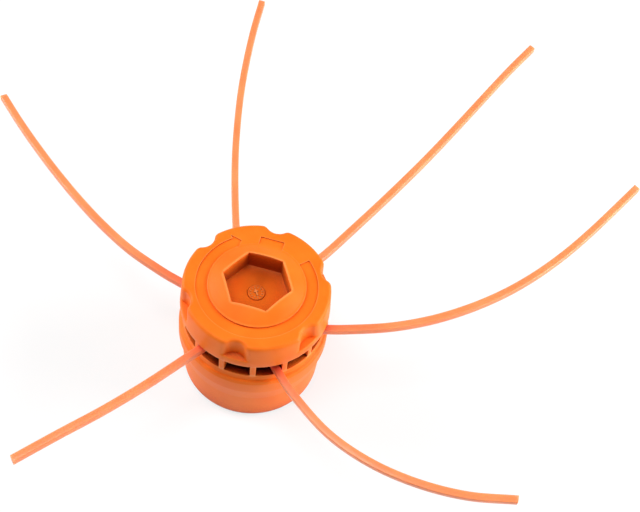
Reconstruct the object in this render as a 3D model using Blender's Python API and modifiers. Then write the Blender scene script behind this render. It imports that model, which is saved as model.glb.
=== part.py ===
"""A string trimmer head: a moulded housing with a ring of line windows, a knob-like screw cap
with six finger scallops and a hexagonal wrench socket, a keyed plate that the cap presses down
on the lines, a steel nut for the gearbox spindle, and three square nylon lines laid through the
head, so that six ends stand out of the windows.

The head stands on its gearbox side: z = 0 is that face, +Z runs along the axis to the cap.
The sunk rectangle on the cap lies towards +Y. All constants are in millimetres or degrees."""

import math

import bmesh
import bpy
from mathutils import Matrix, Vector

# Sizes every piece shares
MM = 0.001
CLEARANCE = 0.3
LINE_SIDE = 4.0
LINE_COUNT = 3
HOUSING_STEPS = 72
CAP_STEPS = 84
SMALL_STEPS = 40
THREAD_STEPS = 36
SOFT_EDGE = 0.5
BITE = 1.0
OVERSHOOT = 6.0

# Head, across: the wrench socket's key sets it, and each ring outside lies that much further out
KEY_FLATS = 32.0
DOME_MARGIN = 7.815
RIM_WIDTH = 12.81
CAP_LEAN = 0.96
BAND_MARGIN = 0.54

# Housing, across: how far each ring lies inside the widest band
BAND_STEP = 0.6
LEDGE_INSET = 0.7
LEDGE_FOOT_INSET = 1.8
TAPER_INSET = 2.0
LOWER_INSET = 2.9
WINDOW_INSET = 2.34
POST_DEPTH = 3.86
POST_WIDTH = 3.2
POST_TURN = 1.9
WINDOW_COUNT = 14

# Housing, up: each height above the one before it
FOOT_ROUND = 3.0
TAPER_RISE = 18.0
BAND_FOOT_RISE = 9.1
BAND_STEP_RISE = 0.6
BAND_HEIGHT = 8.0
LEDGE_RISE = 1.9
LEDGE_FOOT_RISE = 0.8
SILL_RISE = 3.73
WINDOW_HEIGHT = 9.67
SHOULDER_THICKNESS = 1.8
SILL_LIP = 1.63

# Housing: spindle socket and the shallow ring moulded into the gearbox face
SOCKET_RADIUS = 14.0
SOCKET_DEPTH = 10.0
WEB_THICKNESS = 12.0
SPINDLE_RADIUS = 5.4
FOOT_RING_WALL = 5.5
FOOT_RING_MARGIN = 3.2
FOOT_RING_DEPTH = 1.5
FOOT_RING_SLOPE = 0.4

# Nut for the gearbox spindle
NUT_FLATS = 16.0
NUT_HEIGHT = 8.4
NUT_BORE_RADIUS = 4.3
NUT_CHAMFER = 0.9
NUT_FACE_INSET = 0.2

# Cap, outside
CAP_HEIGHT = 16.77
CAP_EDGE = 2.0
CAP_EDGE_CUT = 0.6
TOP_THICKNESS = 2.6
OUTER_WALL = 2.4
SCALLOP_COUNT = 6
SCALLOP_TURN = 30.0
SCALLOP_RADIUS = 7.0
SCALLOP_OFFSET = 2.54
SCALLOP_ROUND = 4.0
SCALLOP_WALL = 3.9
LOBE_HALF_ANGLE = 15.0
FLANGE_HEIGHT = 4.8

# Cap: dome, as insets from its foot and rises above the flat top, and the wrench socket in it
DOME = ((0.0, 0.0), (1.99, 1.05), (3.99, 2.03), (5.89, 2.91), (7.59, 3.64), (9.49, 4.35), (11.29, 4.93))
SOCKET_FLOOR_DROP = 7.6
SOCKET_FLOOR_THICKNESS = 2.77

# Cap: the shallow marks on its top
MARK_DEPTH = 0.5
ARROW_WIDTH = 5.88
ARROW_TAIL = 47.0
ARROW_NECK = 130.0
ARROW_TIP_ANGLE = 122.5
ARROW_TIP_OUT = 3.1
ARROW_BARB = 2.2
PANEL_WIDTH = 13.0
PANEL_OUT = 4.1
PANEL_IN = 4.19
DISC_RADIUS = 4.7
DISC_HEIGHT = 0.4
POINTER_HEIGHT = 0.35
POINTER_SIZE = 2.7
POINTER_TURN = 35.0

# Screw thread between the neck and the cap: one start, right-handed, a ridge on each
THREAD_PITCH = 4.0
THREAD_HEIGHT = 1.2
THREAD_FOOT = 1.9
THREAD_CREST = 1.0
NECK_THREAD_TURNS = 2.25
CAP_THREAD_TURNS = 2.0
CAP_THREAD_START = 90.0
NECK_THREAD_RISE = 2.6
THREAD_STAGGER = 1.64
THREAD_WALL = 2.1
NECK_WALL = 2.6
NECK_TOP_GAP = 0.77

# Pressure plate, its keys, and the swivel clip that hangs it under the cap
PLATE_THICKNESS = 3.5
PLATE_GAP = 0.6
KEY_COUNT = 4
KEY_WIDTH = 4.0
KEY_DEPTH = 1.2
CLIP_SHAFT_RADIUS = 4.9
CLIP_HEAD_RADIUS = 6.2
CLIP_HEAD_HEIGHT = 1.2
CLIP_LIFT = 0.2
CLIP_SLOT = 1.4
BOSS_RADIUS = 8.0

# What follows from those sizes
SOCKET_CORNER_RADIUS = KEY_FLATS / 2 / math.cos(math.radians(30))
DOME_RADIUS = SOCKET_CORNER_RADIUS + DOME_MARGIN
CAP_TOP_RADIUS = DOME_RADIUS + RIM_WIDTH
CAP_RADIUS = CAP_TOP_RADIUS + CAP_LEAN
BAND_RADIUS = CAP_RADIUS + BAND_MARGIN
LOWER_RADIUS = BAND_RADIUS - LOWER_INSET
WINDOW_RADIUS = BAND_RADIUS - WINDOW_INSET
POST_INNER_RADIUS = WINDOW_RADIUS - POST_DEPTH
TAPER_TOP = FOOT_ROUND + TAPER_RISE
BAND_FOOT = TAPER_TOP + BAND_FOOT_RISE
BAND_TOP = BAND_FOOT + BAND_STEP_RISE + BAND_HEIGHT
LEDGE_TOP = BAND_TOP + LEDGE_RISE
WINDOW_FOOT = LEDGE_TOP + LEDGE_FOOT_RISE + SILL_RISE
WINDOW_TOP = WINDOW_FOOT + WINDOW_HEIGHT
SHOULDER_TOP = WINDOW_TOP + SHOULDER_THICKNESS
WEB_TOP = SOCKET_DEPTH + WEB_THICKNESS
CHAMBER_FLOOR = WINDOW_FOOT - SILL_LIP
CAP_BOTTOM = SHOULDER_TOP + CLEARANCE
CAP_TOP = CAP_BOTTOM + CAP_HEIGHT
CAP_CEILING = CAP_TOP - TOP_THICKNESS
SCALLOP_CENTRE = CAP_RADIUS + SCALLOP_OFFSET
SCALLOP_FLOOR = CAP_BOTTOM + FLANGE_HEIGHT
CAP_BORE = SCALLOP_CENTRE - SCALLOP_RADIUS - SCALLOP_WALL
NECK_RADIUS = CAP_BORE - CLEARANCE - THREAD_HEIGHT
NECK_BORE = NECK_RADIUS - NECK_WALL
NECK_TOP = CAP_CEILING - NECK_TOP_GAP
SOCKET_FLOOR = CAP_TOP - SOCKET_FLOOR_DROP
SOCKET_BOTTOM = SOCKET_FLOOR - SOCKET_FLOOR_THICKNESS
PLATE_BOTTOM = CHAMBER_FLOOR + LINE_COUNT * LINE_SIDE + (LINE_COUNT + 1) * CLEARANCE
PLATE_TOP = PLATE_BOTTOM + PLATE_THICKNESS
PLATE_RADIUS = NECK_BORE - PLATE_GAP
CLIP_BOTTOM = PLATE_BOTTOM + CLIP_LIFT

# Lines: points on the centre of each through piece, from one free end to the other
LINE_ROUTES = (
    ((-183.3, 98.4, 46.2), (-167.0, 83.0, 46.5), (-150.1, 68.2, 46.8), (-132.7, 54.0, 47.1),
     (-114.7, 40.5, 47.3), (-96.1, 28.1, 47.4), (-76.5, 17.2, 47.5), (-55.6, 9.0, 47.5),
     (-45.5, 5.9, 47.5), (-38.2, 3.9, 47.5), (-32.5, 2.4, 47.8), (-24.5, -0.2, 48.8),
     (-10.8, -4.4, 50.1), (-0.2, -6.2, 50.1),
     (10.6, -6.6, 50.1), (24.4, -5.6, 51.2), (38.2, -2.7, 52.3), (51.6, 1.4, 52.5),
     (73.0, 9.8, 52.5), (93.2, 21.0, 52.5), (111.8, 34.8, 52.5), (128.7, 50.6, 52.5),
     (143.7, 68.2, 52.5), (157.0, 87.1, 52.5), (168.9, 106.9, 52.4), (180.0, 127.2, 52.3),
     (190.8, 147.5, 52.2)),
    ((-60.7, 224.3, 46.8), (-58.7, 199.0, 47.1), (-55.7, 173.8, 47.4), (-51.8, 148.7, 47.6),
     (-46.7, 123.8, 47.8), (-40.7, 99.1, 47.9), (-33.6, 74.7, 48.0), (-25.9, 51.2, 48.0),
     (-19.3, 33.1, 47.9), (-14.1, 19.9, 46.9), (-8.0, 7.6, 45.8), (-2.5, -1.5, 45.8),
     (3.5, -10.3, 45.8), (12.1, -21.1, 46.9), (21.6, -31.8, 47.9), (35.0, -44.2, 48.0),
     (56.5, -59.2, 47.9), (80.6, -68.4, 47.8), (106.0, -72.3, 47.7), (131.6, -71.5, 47.4),
     (156.7, -66.1, 47.2)),
    ((-88.3, -120.8, 51.8), (-71.9, -101.4, 52.0), (-55.3, -82.2, 52.1), (-39.6, -62.0, 52.2),
     (-26.4, -43.2, 52.2), (-19.1, -32.9, 52.2), (-12.0, -21.2, 52.7), (-4.8, -9.3, 54.4),
     (0.5, -0.3, 54.4), (5.8, 8.7, 54.4), (12.1, 20.9, 52.0), (19.1, 33.1, 49.6),
     (27.3, 46.4, 49.5), (37.6, 67.2, 49.5), (47.9, 88.6, 49.4), (57.9, 110.2, 49.3),
     (67.6, 132.1, 49.2), (76.7, 154.1, 49.0), (85.6, 176.3, 48.8), (94.4, 198.5, 48.6),
     (103.4, 220.7, 48.3), (113.0, 242.5, 48.0)),
)
LINE_STEP = 9.0


def clear_file():
    for thing in list(bpy.data.objects):
        bpy.data.objects.remove(thing, do_unlink=True)


def collection(name):
    group = bpy.data.collections.new(name)
    bpy.context.scene.collection.children.link(group)
    return group


def material(name, colour, roughness, metallic=0.0):
    made = bpy.data.materials.new(name)
    made.use_nodes = True
    shader = made.node_tree.nodes["Principled BSDF"]
    shader.inputs["Base Color"].default_value = (*colour, 1.0)
    shader.inputs["Roughness"].default_value = roughness
    shader.inputs["Metallic"].default_value = metallic
    return made


def place(name, data, group, finish=None):
    thing = bpy.data.objects.new(name, data)
    group.objects.link(thing)
    if finish:
        data.materials.append(finish)
    if group is tools:
        thing.hide_render = True
        thing.display_type = "WIRE"
    return thing


def turned(name, profile, steps, group, finish=None):
    """A body of revolution. The profile runs down the outer side; a hollow one is closed by its first point.

    It starts half a step from +X, so that no seam of it lies in a corner of a tool that cuts it."""
    mesh = bpy.data.meshes.new(name)
    start = 180.0 / steps
    points = [(*polar(r * MM, start), z * MM) for r, z in profile]
    edges = [(i, i + 1) for i in range(len(points) - 1)]
    if profile[0][0] > 0 or profile[-1][0] > 0:
        edges.append((len(points) - 1, 0))
    mesh.from_pydata(points, edges, [])
    thing = place(name, mesh, group, finish)
    screw = thing.modifiers.new("turn", "SCREW")
    screw.axis = "Z"
    screw.steps = steps
    screw.render_steps = steps
    screw.use_merge_vertices = True
    screw.merge_threshold = 0.00001
    screw.use_smooth_shade = True
    return thing


def prisms(name, outlines, low, high, group, finish=None):
    """One mesh holding an upright prism for each outline, counter-clockwise from above."""
    shape = bmesh.new()
    for outline in outlines:
        below = [shape.verts.new((x * MM, y * MM, low * MM)) for x, y in outline]
        above = [shape.verts.new((x * MM, y * MM, high * MM)) for x, y in outline]
        shape.faces.new(list(reversed(below)))
        shape.faces.new(above)
        for i in range(len(outline)):
            j = (i + 1) % len(outline)
            shape.faces.new((below[i], below[j], above[j], above[i]))
    mesh = bpy.data.meshes.new(name)
    shape.to_mesh(mesh)
    shape.free()
    return place(name, mesh, group, finish)


def combine(thing, other, operation):
    step = thing.modifiers.new(operation.lower(), "BOOLEAN")
    step.operation = operation
    step.solver = "EXACT"
    step.object = other


def polar(radius, degrees):
    return radius * math.cos(math.radians(degrees)), radius * math.sin(math.radians(degrees))


def turn(outline, degrees):
    c = math.cos(math.radians(degrees))
    s = math.sin(math.radians(degrees))
    return [(x * c - y * s, x * s + y * c) for x, y in outline]


def arc(centre, radius, first, last, count):
    """Points on a circle between two angles, both ends included."""
    found = []
    for i in range(count + 1):
        x, y = polar(radius, first + (last - first) * i / count)
        found.append((centre[0] + x, centre[1] + y))
    return found


def hexagon(corner_radius, first_corner):
    return [polar(corner_radius, first_corner + 60.0 * i) for i in range(6)]


def circle(radius, count=SMALL_STEPS):
    return [polar(radius, 360.0 * i / count) for i in range(count)]


def bar(inner, outer, width):
    half = width / 2
    return [(inner, -half), (outer, -half), (outer, half), (inner, half)]


def helical_ridge(name, radius, outward, start, low, turns):
    """One thread ridge on a wall of that radius. It rises counter-clockwise, as a right-hand thread does.

    It starts at that angle and height, and its flanks run on into the wall, so that the union has no seam on it."""
    shape = bmesh.new()
    flank = (THREAD_FOOT - THREAD_CREST) / 2 / THREAD_HEIGHT
    half_root = THREAD_FOOT / 2 + flank * SOFT_EDGE
    half_crest = THREAD_CREST / 2
    section = (
        (-half_root, -SOFT_EDGE),
        (-half_crest, THREAD_HEIGHT),
        (half_crest, THREAD_HEIGHT),
        (half_root, -SOFT_EDGE),
    )
    rings = []
    for i in range(round(turns * THREAD_STEPS) + 1):
        share = i / THREAD_STEPS
        ring = []
        for along, out in section:
            x, y = polar(radius + outward * out, start + 360.0 * share)
            ring.append(shape.verts.new((x * MM, y * MM, (low + THREAD_PITCH * share + along) * MM)))
        rings.append(ring)
    for first, second in zip(rings, rings[1:]):
        for j in range(len(section)):
            k = (j + 1) % len(section)
            shape.faces.new((first[j], first[k], second[k], second[j]))
    shape.faces.new(list(reversed(rings[0])))
    shape.faces.new(rings[-1])
    bmesh.ops.recalc_face_normals(shape, faces=shape.faces)
    mesh = bpy.data.meshes.new(name)
    shape.to_mesh(mesh)
    shape.free()
    return place(name, mesh, tools)


def housing_profile():
    """The housing's section: outside from the neck down to the foot, then up the inside.

    Nothing opens or shows the body between the gearbox face and the line chamber, so it is solid there."""
    foot = arc((LOWER_RADIUS - FOOT_ROUND, FOOT_ROUND), FOOT_ROUND, 0, -90, 5)
    ring_outer = LOWER_RADIUS - FOOT_ROUND - FOOT_RING_MARGIN
    ring_inner = SOCKET_RADIUS + FOOT_RING_WALL
    outside = [
        (NECK_RADIUS - SOFT_EDGE, NECK_TOP),
        (NECK_RADIUS, NECK_TOP - SOFT_EDGE),
        (NECK_RADIUS, SHOULDER_TOP),
        (WINDOW_RADIUS - SOFT_EDGE, SHOULDER_TOP),
        (WINDOW_RADIUS, SHOULDER_TOP - SOFT_EDGE),
        (WINDOW_RADIUS, WINDOW_FOOT),
        (BAND_RADIUS - LEDGE_FOOT_INSET, LEDGE_TOP + LEDGE_FOOT_RISE),
        (BAND_RADIUS - LEDGE_INSET, LEDGE_TOP),
        (BAND_RADIUS, BAND_TOP),
        (BAND_RADIUS, BAND_FOOT + BAND_STEP_RISE),
        (BAND_RADIUS - BAND_STEP, BAND_FOOT),
        (BAND_RADIUS - TAPER_INSET, TAPER_TOP),
    ]
    underside = [
        (ring_outer, 0.0),
        (ring_outer - FOOT_RING_SLOPE, FOOT_RING_DEPTH),
        (ring_inner + FOOT_RING_SLOPE, FOOT_RING_DEPTH),
        (ring_inner, 0.0),
        (SOCKET_RADIUS + SOFT_EDGE, 0.0),
        (SOCKET_RADIUS, SOFT_EDGE),
        (SOCKET_RADIUS, SOCKET_DEPTH),
        (SPINDLE_RADIUS, SOCKET_DEPTH),
        (SPINDLE_RADIUS, CHAMBER_FLOOR),
    ]
    inside = [
        (POST_INNER_RADIUS, CHAMBER_FLOOR),
        (POST_INNER_RADIUS, WINDOW_TOP),
        (NECK_BORE, WINDOW_TOP),
        (NECK_BORE, NECK_TOP),
    ]
    return outside + foot + underside + inside


def window_outlines():
    """The gaps between the posts, whose sides stay parallel to each post's own centre line."""
    pitch = 360.0 / WINDOW_COUNT
    low = POST_INNER_RADIUS - BITE
    high = BAND_RADIUS + OVERSHOOT
    half = POST_WIDTH / 2
    outlines = []
    for i in range(WINDOW_COUNT):
        first = turn([(low, half), (high, half)], POST_TURN + pitch * i)
        last = turn([(high, -half), (low, -half)], POST_TURN + pitch * (i + 1))
        middle = polar(high, POST_TURN + pitch * (i + 0.5))
        outlines.append([first[0], first[1], middle, last[0], last[1]])
    return outlines


def make_housing():
    body = turned("base_housing", housing_profile(), HOUSING_STEPS, parts, plastic)
    combine(body, prisms("window_tool", window_outlines(), WINDOW_FOOT, WINDOW_TOP, tools), "DIFFERENCE")
    pocket_corner = (NUT_FLATS / 2 + CLEARANCE) / math.cos(math.radians(30))
    pocket = hexagon(pocket_corner, 0.0)
    combine(body, prisms("nut_pocket_tool", [pocket], WEB_TOP, CHAMBER_FLOOR + OVERSHOOT, tools), "DIFFERENCE")
    keys = [turn(bar(NECK_BORE - BITE, NECK_BORE + KEY_DEPTH + CLEARANCE, KEY_WIDTH + 2 * CLEARANCE),
                 POST_TURN + 360.0 * i / KEY_COUNT) for i in range(KEY_COUNT)]
    combine(body, prisms("key_groove_tool", keys, SHOULDER_TOP - BITE, NECK_TOP + OVERSHOOT, tools), "DIFFERENCE")
    low = SHOULDER_TOP + NECK_THREAD_RISE
    ridge = helical_ridge("neck_thread_tool", NECK_RADIUS, 1, 0.0, low, NECK_THREAD_TURNS)
    combine(body, ridge, "UNION")
    return body


def make_nut():
    """A plain hexagon nut, its corners trimmed by a turned body on both faces."""
    low = WEB_TOP + CLEARANCE
    high = low + NUT_HEIGHT
    corner = NUT_FLATS / 2 / math.cos(math.radians(30))
    face = NUT_FLATS / 2 - NUT_FACE_INSET
    nut = prisms("drive_nut", [hexagon(corner, 0.0)], low, high, parts, steel)
    trim = [
        (0.0, high + MM),
        (face, high + MM),
        (corner + SOFT_EDGE, high - NUT_CHAMFER),
        (corner + SOFT_EDGE, low + NUT_CHAMFER),
        (face, low - MM),
        (0.0, low - MM),
    ]
    combine(nut, turned("nut_trim_tool", trim, SMALL_STEPS, tools), "INTERSECT")
    bore = prisms("nut_bore_tool", [circle(NUT_BORE_RADIUS)], low - BITE, high + BITE, tools)
    combine(nut, bore, "DIFFERENCE")
    return nut


def scallop_outline():
    """A finger scallop seen from above at +X: its arc, and a rounded lip on each side."""
    rim = (CAP_RADIUS + CAP_TOP_RADIUS) / 2
    lip = rim - SCALLOP_ROUND
    reach = SCALLOP_RADIUS + SCALLOP_ROUND
    # The lip's centre lies on both circles: lip about the axis, reach about the scallop.
    x = (lip ** 2 - reach ** 2 + SCALLOP_CENTRE ** 2) / (2 * SCALLOP_CENTRE)
    y = math.sqrt(lip ** 2 - x ** 2)
    facing = math.degrees(math.atan2(y, x - SCALLOP_CENTRE))
    hollow = arc((SCALLOP_CENTRE, 0.0), SCALLOP_RADIUS, facing, 360.0 - facing, 10)
    rim_angle = math.degrees(math.atan2(y, x))
    lip_arc = arc((x, y), SCALLOP_ROUND, rim_angle, facing - 180.0, 6)[:-1]
    other = [(px, -py) for px, py in reversed(lip_arc)]
    outer = polar(rim + OVERSHOOT, rim_angle)
    return [outer] + lip_arc + hollow + other + [(outer[0], -outer[1])]


def arrow_outline():
    """The sunk arrow round the dome's foot, running clockwise from its tail to its tip."""
    arrow_outer = DOME_RADIUS + ARROW_WIDTH
    sweep = ARROW_NECK - 360.0
    outer = arc((0, 0), arrow_outer, sweep, ARROW_TAIL, 48)
    inner = arc((0, 0), DOME_RADIUS - CLEARANCE, ARROW_TAIL, sweep, 48)
    head = [
        polar(DOME_RADIUS - ARROW_BARB / 2, ARROW_NECK),
        polar(DOME_RADIUS + ARROW_TIP_OUT, ARROW_TIP_ANGLE),
        polar(arrow_outer + ARROW_BARB, ARROW_NECK),
    ]
    return outer + inner + head


def panel_tool():
    """Cuts the sunk rectangle: level over the flat, following the dome's slope further in."""
    slope = next(rise / inset for inset, rise in DOME if inset > 0)
    side = [
        (DOME_RADIUS + PANEL_OUT, CAP_TOP - MARK_DEPTH),
        (DOME_RADIUS + PANEL_OUT, CAP_TOP + OVERSHOOT),
        (DOME_RADIUS - PANEL_IN, CAP_TOP + OVERSHOOT),
        (DOME_RADIUS - PANEL_IN, CAP_TOP + slope * PANEL_IN - MARK_DEPTH),
        (DOME_RADIUS + CLEARANCE, CAP_TOP - MARK_DEPTH),
    ]
    tool = prisms("panel_tool", [side], -PANEL_WIDTH / 2, PANEL_WIDTH / 2, tools)
    # The outline is drawn as radius and height; this stands it up with radius along +Y.
    tool.data.transform(Matrix(((0, 0, 1, 0), (1, 0, 0, 0), (0, 1, 0, 0), (0, 0, 0, 1))))
    return tool


def clip_profile():
    """The boss under the wrench socket, the swivel's shaft and its snap head."""
    clip_top = CLIP_BOTTOM + CLIP_HEAD_HEIGHT
    return [
        (0.0, SOCKET_BOTTOM + SOFT_EDGE),
        (BOSS_RADIUS, SOCKET_BOTTOM + SOFT_EDGE),
        (BOSS_RADIUS, PLATE_TOP + CLEARANCE),
        (CLIP_SHAFT_RADIUS, PLATE_TOP + CLEARANCE),
        (CLIP_SHAFT_RADIUS, clip_top),
        (CLIP_HEAD_RADIUS, clip_top),
        (CLIP_SHAFT_RADIUS, CLIP_BOTTOM),
        (0.0, CLIP_BOTTOM),
    ]


def lobe_outlines():
    """The hollows under the rim, between the scallops, the outer wall and the thread's wall."""
    outlines = []
    for i in range(SCALLOP_COUNT):
        middle = SCALLOP_TURN + 360.0 * (i + 0.5) / SCALLOP_COUNT
        first = middle - LOBE_HALF_ANGLE
        last = middle + LOBE_HALF_ANGLE
        outer = arc((0, 0), CAP_TOP_RADIUS - OUTER_WALL, first, last, 8)
        inner = arc((0, 0), CAP_BORE + THREAD_WALL, last, first, 8)
        outlines.append(outer + inner)
    return outlines


def make_cap():
    """Turned outside first, then joined to its inner parts, then cut."""
    dome = [(DOME_RADIUS - inset, CAP_TOP + rise) for inset, rise in DOME]
    section = [(0.0, dome[-1][1])] + list(reversed(dome))
    section += [
        (CAP_TOP_RADIUS - CAP_EDGE, CAP_TOP),
        (CAP_TOP_RADIUS - CAP_EDGE_CUT, CAP_TOP - CAP_EDGE_CUT),
        (CAP_TOP_RADIUS, CAP_TOP - CAP_EDGE),
        (CAP_RADIUS, CAP_BOTTOM),
        (CAP_BORE + SOFT_EDGE, CAP_BOTTOM),
        (CAP_BORE, CAP_BOTTOM + SOFT_EDGE),
        (CAP_BORE, CAP_CEILING),
        (0.0, CAP_CEILING),
    ]
    cap = turned("cap_knob", section, CAP_STEPS, parts, plastic)
    cup_corner = SOCKET_CORNER_RADIUS + TOP_THICKNESS / math.cos(math.radians(30))
    cup = prisms("socket_cup_tool", [hexagon(cup_corner, 0.0)], SOCKET_BOTTOM, CAP_CEILING + SOFT_EDGE, tools)
    combine(cap, cup, "UNION")
    combine(cap, turned("clip_tool", clip_profile(), SMALL_STEPS, tools), "UNION")
    low = SHOULDER_TOP + NECK_THREAD_RISE - THREAD_STAGGER + THREAD_PITCH * CAP_THREAD_START / 360.0
    ridge = helical_ridge("cap_thread_tool", CAP_BORE, -1, CAP_THREAD_START, low, CAP_THREAD_TURNS)
    combine(cap, ridge, "UNION")
    slot = bar(-CLIP_HEAD_RADIUS - BITE, CLIP_HEAD_RADIUS + BITE, CLIP_SLOT)
    for name, outline in (("clip_slot_tool", slot), ("clip_cross_tool", turn(slot, 90.0))):
        combine(cap, prisms(name, [outline], PLATE_BOTTOM - BITE, PLATE_TOP + CLIP_LIFT, tools), "DIFFERENCE")
    outlines = [turn(scallop_outline(), SCALLOP_TURN + 360.0 * i / SCALLOP_COUNT) for i in range(SCALLOP_COUNT)]
    scallops = prisms("scallop_tool", outlines, SCALLOP_FLOOR, CAP_TOP + OVERSHOOT, tools)
    combine(cap, scallops, "DIFFERENCE")
    combine(cap, prisms("lobe_tool", lobe_outlines(), CAP_BOTTOM - BITE, CAP_CEILING, tools), "DIFFERENCE")
    socket = hexagon(SOCKET_CORNER_RADIUS, 0.0)
    combine(cap, prisms("socket_tool", [socket], SOCKET_FLOOR, CAP_TOP + OVERSHOOT, tools), "DIFFERENCE")
    arrow = prisms("arrow_tool", [arrow_outline()], CAP_TOP - MARK_DEPTH, CAP_TOP + OVERSHOOT, tools)
    combine(cap, arrow, "DIFFERENCE")
    combine(cap, panel_tool(), "DIFFERENCE")
    dial_top = SOCKET_FLOOR + DISC_HEIGHT
    combine(cap, prisms("disc_tool", [circle(DISC_RADIUS, 32)], SOCKET_FLOOR - BITE, dial_top, tools), "UNION")
    pointer = [(-0.2, -1), (0.2, -1), (0.2, 0.2), (0.5, 0.2), (0.0, 1), (-0.5, 0.2), (-0.2, 0.2)]
    pointer = [(x * POINTER_SIZE, y * POINTER_SIZE) for x, y in turn(pointer, POINTER_TURN)]
    combine(cap, prisms("pointer_tool", [pointer], SOCKET_FLOOR, dial_top + POINTER_HEIGHT, tools), "UNION")
    return cap


def make_plate():
    head_room = CLIP_BOTTOM + CLIP_HEAD_HEIGHT + CLEARANCE
    profile = [
        (CLIP_SHAFT_RADIUS + CLEARANCE, PLATE_TOP),
        (PLATE_RADIUS, PLATE_TOP),
        (PLATE_RADIUS, PLATE_BOTTOM + SOFT_EDGE),
        (PLATE_RADIUS - SOFT_EDGE, PLATE_BOTTOM),
        (CLIP_HEAD_RADIUS + SOFT_EDGE, PLATE_BOTTOM),
        (CLIP_HEAD_RADIUS + SOFT_EDGE, head_room),
        (CLIP_SHAFT_RADIUS + CLEARANCE, head_room),
    ]
    plate = turned("pressure_plate", profile, SMALL_STEPS, parts, plastic)
    keys = [turn(bar(PLATE_RADIUS - 2 * BITE, NECK_BORE + KEY_DEPTH, KEY_WIDTH),
                 POST_TURN + 360.0 * i / KEY_COUNT) for i in range(KEY_COUNT)]
    combine(plate, prisms("key_tool", keys, PLATE_BOTTOM + SOFT_EDGE, PLATE_TOP, tools), "UNION")
    return plate


def smooth_route(points, step):
    """A curve through the points with none of their corners, cut into even steps."""
    given = [Vector(p) for p in points]
    padded = [2 * given[0] - given[1]] + given + [2 * given[-1] - given[-2]]
    dense = []
    for a, b, c, d in zip(padded, padded[1:], padded[2:], padded[3:]):
        for i in range(12):
            t = i / 12
            dense.append(0.5 * (2 * b + (c - a) * t + (2 * a - 5 * b + 4 * c - d) * t ** 2
                                + (3 * b - 3 * c + d - a) * t ** 3))
    dense.append(given[-1])
    lengths = [0.0]
    for p, q in zip(dense, dense[1:]):
        lengths.append(lengths[-1] + (q - p).length)
    count = round(lengths[-1] / step)
    found = []
    k = 0
    for i in range(count + 1):
        wanted = lengths[-1] * i / count
        while k < len(dense) - 2 and lengths[k + 1] < wanted:
            k += 1
        part = (wanted - lengths[k]) / (lengths[k + 1] - lengths[k])
        found.append(dense[k].lerp(dense[k + 1], part))
    return found


def make_line(name, route):
    """One square line, its flats level and upright."""
    curve = bpy.data.curves.new(name, "CURVE")
    curve.dimensions = "3D"
    curve.twist_mode = "Z_UP"
    curve.bevel_depth = LINE_SIDE / math.sqrt(2) * MM
    curve.bevel_resolution = 0
    curve.use_fill_caps = True
    points = smooth_route(route, LINE_STEP)
    spline = curve.splines.new("POLY")
    spline.points.add(len(points) - 1)
    for knot, point in zip(spline.points, points):
        knot.co = (*(point * MM), 1.0)
        knot.tilt = math.radians(45)
    return place(name, curve, parts, nylon)


clear_file()
parts = collection("trimmer_head")
tools = collection("cutting_tools")
plastic = material("orange_plastic", (0.90, 0.21, 0.03), 0.45)
nylon = material("orange_nylon", (0.93, 0.27, 0.05), 0.35)
steel = material("zinc_steel", (0.62, 0.62, 0.60), 0.35, 1.0)
make_housing()
make_nut()
make_cap()
make_plate()
for number, line_route in enumerate(LINE_ROUTES, start=1):
    make_line(f"cutting_line_{number}", line_route)
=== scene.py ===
import math

import bmesh
import bpy
from mathutils import Matrix, Vector


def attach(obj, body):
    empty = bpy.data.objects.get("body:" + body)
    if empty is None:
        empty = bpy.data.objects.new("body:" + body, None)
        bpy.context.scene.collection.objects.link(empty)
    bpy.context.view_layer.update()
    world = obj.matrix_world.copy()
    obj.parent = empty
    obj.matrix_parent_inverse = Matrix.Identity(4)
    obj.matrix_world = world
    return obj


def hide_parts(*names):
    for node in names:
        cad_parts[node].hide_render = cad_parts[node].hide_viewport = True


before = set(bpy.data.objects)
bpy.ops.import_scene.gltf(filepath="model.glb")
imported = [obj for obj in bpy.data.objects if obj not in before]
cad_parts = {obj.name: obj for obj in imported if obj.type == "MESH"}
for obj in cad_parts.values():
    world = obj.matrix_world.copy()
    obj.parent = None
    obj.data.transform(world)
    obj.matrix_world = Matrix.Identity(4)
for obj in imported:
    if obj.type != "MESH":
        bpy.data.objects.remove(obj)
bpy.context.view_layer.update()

# Camera
# The photograph looks down on the cap from the front, a little rolled, through a long lens from about
# three quarters of a metre away.
MM = 0.001
camera_data = bpy.data.cameras.new("photo_camera")
camera_data.lens = 73.125
camera_data.sensor_width = 36.0
camera_data.clip_start = 0.01
camera = bpy.data.objects.new("photo_camera", camera_data)
bpy.context.scene.collection.objects.link(camera)
camera_right = Vector((0.96352, 0.25225, 0.08938))
camera_down = Vector((0.25793, -0.78628, -0.56146))
camera_forward = Vector((-0.07135, 0.56403, -0.82267))
camera_axes = Matrix((camera_right, -camera_down, -camera_forward)).transposed()
camera.matrix_world = Matrix.Translation(Vector((76.17, -362.46, 643.19)) * MM) @ camera_axes.to_4x4()
bpy.context.scene.camera = camera

# Nylon lines
# Three lengths of square 4 mm line, extruded in orange nylon with slightly soft corners, are laid through
# the head under the pressure plate, one over another. Each shows as two arms, so each arm is its own piece.
LINE_SIDE = 4.0
LINE_CORNER = 0.45
LINE_STEP = 2.5
CURVE_STEPS = 16
CLAMPED_STEPS = 11
TWIST_STEPS = 8
LINE_SHARP_EDGE = 50
CUT_SLANT = 0.12
CUT_CHAMFER = 0.12
# The flat of a cut end keeps this share of the line's width.
CUT_FACE = 0.9
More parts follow.
